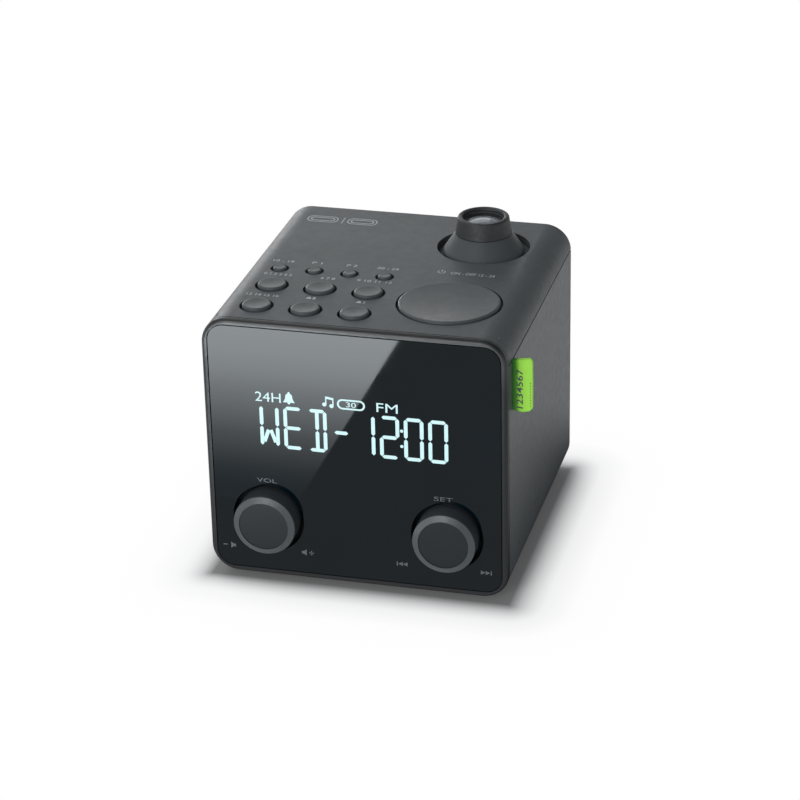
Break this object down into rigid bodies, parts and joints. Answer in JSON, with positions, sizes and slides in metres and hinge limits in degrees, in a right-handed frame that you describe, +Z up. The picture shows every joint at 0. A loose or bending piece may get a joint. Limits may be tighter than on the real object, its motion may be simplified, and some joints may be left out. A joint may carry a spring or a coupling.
{
  "type": "projection alarm clock",
  "caption": "Cube-shaped clock radio with a lit front display, two turned knobs, round top keys, a large round snooze key and an upright time projector with a focus ring.",
  "frame": {"origin": "on the table, under the middle of the whole outline, knobs and ribbon tag included", "axes": "+Z up, -Y towards the person who reads the display, +X to their right"},
  "size_m": [0.1224, 0.1212, 0.119],
  "materials": {
    "case_grey": "fine satin texture, soft-touch paint",
    "bezel_grey": "satin",
    "smoked_panel": "high gloss",
    "display_glass": "dark liquid crystal with pale cyan segments",
    "white_plastic": "diffusing",
    "black_plastic": "moulded",
    "knob_grey": "satin",
    "knob_face": "spun satin",
    "focus_rubber": "ribbed",
    "black_rubber": "moulded",
    "clear_lens": "coated",
    "steel": "plated",
    "brass": "plated",
    "circuit_board": "solder mask",
    "magnet": "ferrite",
    "paper_cone": "doped paper",
    "black_cloth": "woven",
    "green_ribbon": "woven satin ribbon",
    "ribbon_cable": "flat cable"
  },
  "bodies": {
    "case": {"aerial_grommet": "black_rubber", "audio_jack": "black_plastic", "battery_door": "case_grey", "capacitors": "black_plastic", "case_screws": "steel", "coin_cell": "steel", "coin_holder": "white_plastic", "dc_jack": "black_plastic", "display_glass": "display_glass", "display_holder": "white_plastic", "display_ribbon": "ribbon_cable", "encoder_bodies": "black_plastic", "encoder_nuts": "brass", "feet": "black_rubber", "front_bezel": "bezel_grey", "front_board": "circuit_board", "front_lens": "smoked_panel", "grille_cloth": "black_cloth", "inner_screws": "steel", "key_ribbon": "ribbon_cable", "key_switches": "black_plastic", "lower_shell": "case_grey", "main_board": "circuit_board", "rear_cover": "black_plastic", "side_tag": "green_ribbon", "speaker_cone": "paper_cone", "speaker_frame": "steel", "speaker_magnet": "magnet", "top_board": "circuit_board", "top_cover": "case_grey", "tuner_can": "steel"},
    "volume_dial": {"volume_knob": "knob_grey", "volume_knob_face": "knob_face", "volume_shaft": "steel"},
    "select_press": {"select_plunger": "black_plastic"},
    "select_dial": {"select_knob": "knob_grey", "select_knob_face": "knob_face", "select_shaft": "steel"},
    "projector": {"projector_turret": "case_grey", "turret_retainer": "steel", "projector_board": "circuit_board", "projector_lamp": "clear_lens", "slide_holder": "black_plastic", "projector_slide": "display_glass"},
    "focus": {"focus_ring": "focus_rubber"},
    "lens_cell": {"lens_barrel": "black_plastic", "projection_lens": "clear_lens"},
    "preset_key_1_cap": {"preset_key_1": "case_grey"},
    "preset_key_2_cap": {"preset_key_2": "case_grey"},
    "preset_key_3_cap": {"preset_key_3": "case_grey"},
    "preset_key_4_cap": {"preset_key_4": "case_grey"},
    "function_key_1_cap": {"function_key_1": "case_grey"},
    "function_key_2_cap": {"function_key_2": "case_grey"},
    "function_key_3_cap": {"function_key_3": "case_grey"},
    "function_key_4_cap": {"function_key_4": "case_grey"},
    "function_key_5_cap": {"function_key_5": "case_grey"},
    "function_key_6_cap": {"function_key_6": "case_grey"},
    "snooze_key_cap": {"snooze_key": "case_grey"}
  },
  "joints": [
    {"name": "volume_turn", "type": "hinge", "parent": "case", "child": "volume_dial", "pos_m": [-0.0381, -0.0538, 0.0259], "axis": [0, 1, 0], "continuous": true},
    {"name": "select_press", "type": "slide", "parent": "case", "child": "select_press", "axis": [0, 1, 0], "range_m": [0, 0.0005], "stiffness_N_per_m": 800, "springref_m": -0.0005},
    {"name": "select_turn", "type": "hinge", "parent": "select_press", "child": "select_dial", "pos_m": [0.0307, -0.0538, 0.0259], "axis": [0, 1, 0], "continuous": true},
    {"name": "projector_turn", "type": "hinge", "parent": "case", "child": "projector", "pos_m": [0.0251, 0.0332, 0.10625], "axis": [0, 0, 1], "range_deg": [-90, 90]},
    {"name": "focus_turn", "type": "hinge", "parent": "projector", "child": "focus", "pos_m": [0.0251, 0.0332, 0.10625], "axis": [0, 0, 1], "range_deg": [-90, 90]},
    {"name": "lens_slide", "type": "slide", "parent": "projector", "child": "lens_cell", "axis": [0, 0, 1], "range_m": [-0.0008, 0.0008]},
    {"name": "preset_key_1_press", "type": "slide", "parent": "case", "child": "preset_key_1_cap", "axis": [0, 0, -1], "range_m": [0, 0.0007], "stiffness_N_per_m": 700, "springref_m": -0.0005},
    {"name": "preset_key_2_press", "type": "slide", "parent": "case", "child": "preset_key_2_cap", "axis": [0, 0, -1], "range_m": [0, 0.0007], "stiffness_N_per_m": 700, "springref_m": -0.0005},
    {"name": "preset_key_3_press", "type": "slide", "parent": "case", "child": "preset_key_3_cap", "axis": [0, 0, -1], "range_m": [0, 0.0007], "stiffness_N_per_m": 700, "springref_m": -0.0005},
    {"name": "preset_key_4_press", "type": "slide", "parent": "case", "child": "preset_key_4_cap", "axis": [0, 0, -1], "range_m": [0, 0.0007], "stiffness_N_per_m": 700, "springref_m": -0.0005},
    {"name": "function_key_1_press", "type": "slide", "parent": "case", "child": "function_key_1_cap", "axis": [0, 0, -1], "range_m": [0, 0.0007], "stiffness_N_per_m": 700, "springref_m": -0.0005},
    {"name": "function_key_2_press", "type": "slide", "parent": "case", "child": "function_key_2_cap", "axis": [0, 0, -1], "range_m": [0, 0.0007], "stiffness_N_per_m": 700, "springref_m": -0.0005},
    {"name": "function_key_3_press", "type": "slide", "parent": "case", "child": "function_key_3_cap", "axis": [0, 0, -1], "range_m": [0, 0.0007], "stiffness_N_per_m": 700, "springref_m": -0.0005},
    {"name": "function_key_4_press", "type": "slide", "parent": "case", "child": "function_key_4_cap", "axis": [0, 0, -1], "range_m": [0, 0.0007], "stiffness_N_per_m": 700, "springref_m": -0.0005},
    {"name": "function_key_5_press", "type": "slide", "parent": "case", "child": "function_key_5_cap", "axis": [0, 0, -1], "range_m": [0, 0.0007], "stiffness_N_per_m": 700, "springref_m": -0.0005},
    {"name": "function_key_6_press", "type": "slide", "parent": "case", "child": "function_key_6_cap", "axis": [0, 0, -1], "range_m": [0, 0.0007], "stiffness_N_per_m": 700, "springref_m": -0.0005},
    {"name": "snooze_key_press", "type": "slide", "parent": "case", "child": "snooze_key_cap", "axis": [0, 0, -1], "range_m": [0, 0.0007], "stiffness_N_per_m": 1200, "springref_m": -0.0005}
  ],
  "couplings": [
    {"joint": "lens_slide", "follows": "focus_turn", "m_per_rad": 0.0005092}
  ]
}
